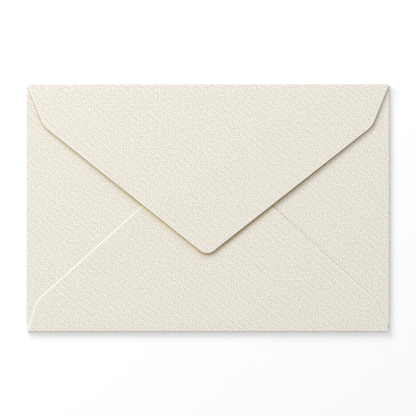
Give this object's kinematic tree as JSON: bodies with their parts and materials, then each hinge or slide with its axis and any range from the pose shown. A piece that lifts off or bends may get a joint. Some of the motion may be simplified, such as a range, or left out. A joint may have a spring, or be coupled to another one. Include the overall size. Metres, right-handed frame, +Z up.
{
  "type": "paper envelope",
  "caption": "Closed writing-paper envelope with a deep pointed flap, side flaps and a bottom flap glued over them, folded from one sheet.",
  "frame": {"origin": "middle of the outer face of the address panel, which the envelope lies on", "axes": "+X along the long side, +Y towards the fold of the closing flap, +Z up out of the flap side"},
  "size_m": [0.176, 0.12, 0.0016],
  "materials": {
    "linen_paper": "matt, embossed with a fine linen texture"
  },
  "bodies": {
    "root": {"envelope": "linen_paper"}
  },
  "joints": []
}
